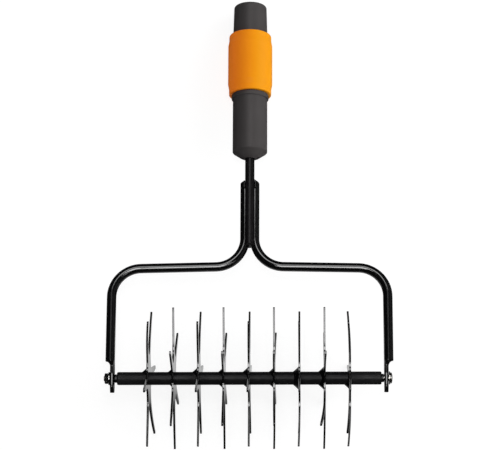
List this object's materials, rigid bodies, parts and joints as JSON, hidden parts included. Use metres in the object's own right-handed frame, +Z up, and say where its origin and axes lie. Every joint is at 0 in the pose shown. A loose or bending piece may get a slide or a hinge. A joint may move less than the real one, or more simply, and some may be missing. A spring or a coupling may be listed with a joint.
{
  "type": "aerator rake head",
  "caption": "Hand aerator rake head: a bent-rod yoke holds a free-turning roller of star-shaped tine wheels, with a moulded neck and a turning lock collar for a long handle.",
  "frame": {"origin": "middle of the foot of the bounding box, on the ground that the head lies on", "axes": "+X along the roller towards the bolt's head, +Y along the ground towards the handle's end, +Z up"},
  "size_m": [0.3034, 0.4882, 0.1455],
  "materials": {
    "black_paint": "gloss black paint on steel rod and tube",
    "wheel_paint": "gloss black paint on stamped steel plate",
    "neck_plastic": "fine-textured dark grey moulding",
    "collar_plastic": "satin orange moulding",
    "bush_plastic": "black moulding",
    "zinc_steel": "bright zinc plating"
  },
  "bodies": {
    "frame": {"yoke_rod_left": "black_paint", "yoke_rod_right": "black_paint", "stem_rod": "black_paint", "crotch_weld": "black_paint", "top_weld_left": "black_paint", "top_weld_right": "black_paint", "axle_bolt": "zinc_steel", "axle_nut": "zinc_steel", "washer_left": "zinc_steel", "washer_right": "zinc_steel", "neck": "neck_plastic", "neck_pin": "zinc_steel", "retaining_ring": "zinc_steel"},
    "roller": {"roller_tube": "black_paint", "end_bush_left": "bush_plastic", "end_bush_right": "bush_plastic", "tine_wheel_1": "wheel_paint", "tine_wheel_2": "wheel_paint", "tine_wheel_3": "wheel_paint", "tine_wheel_4": "wheel_paint", "tine_wheel_5": "wheel_paint", "tine_wheel_6": "wheel_paint", "tine_wheel_7": "wheel_paint", "tine_wheel_8": "wheel_paint", "tine_wheel_9": "wheel_paint"},
    "collar": {"lock_collar": "collar_plastic"}
  },
  "joints": [
    {"name": "roller_spin", "type": "hinge", "parent": "frame", "child": "roller", "pos_m": [0.0006, -0.1714, 0.07273], "axis": [1, 0, 0], "continuous": true},
    {"name": "collar_turn", "type": "hinge", "parent": "frame", "child": "collar", "pos_m": [0.0006, 0.1734, 0.02784], "axis": [0, 0.988, -0.1545], "range_deg": [0, 60]}
  ]
}
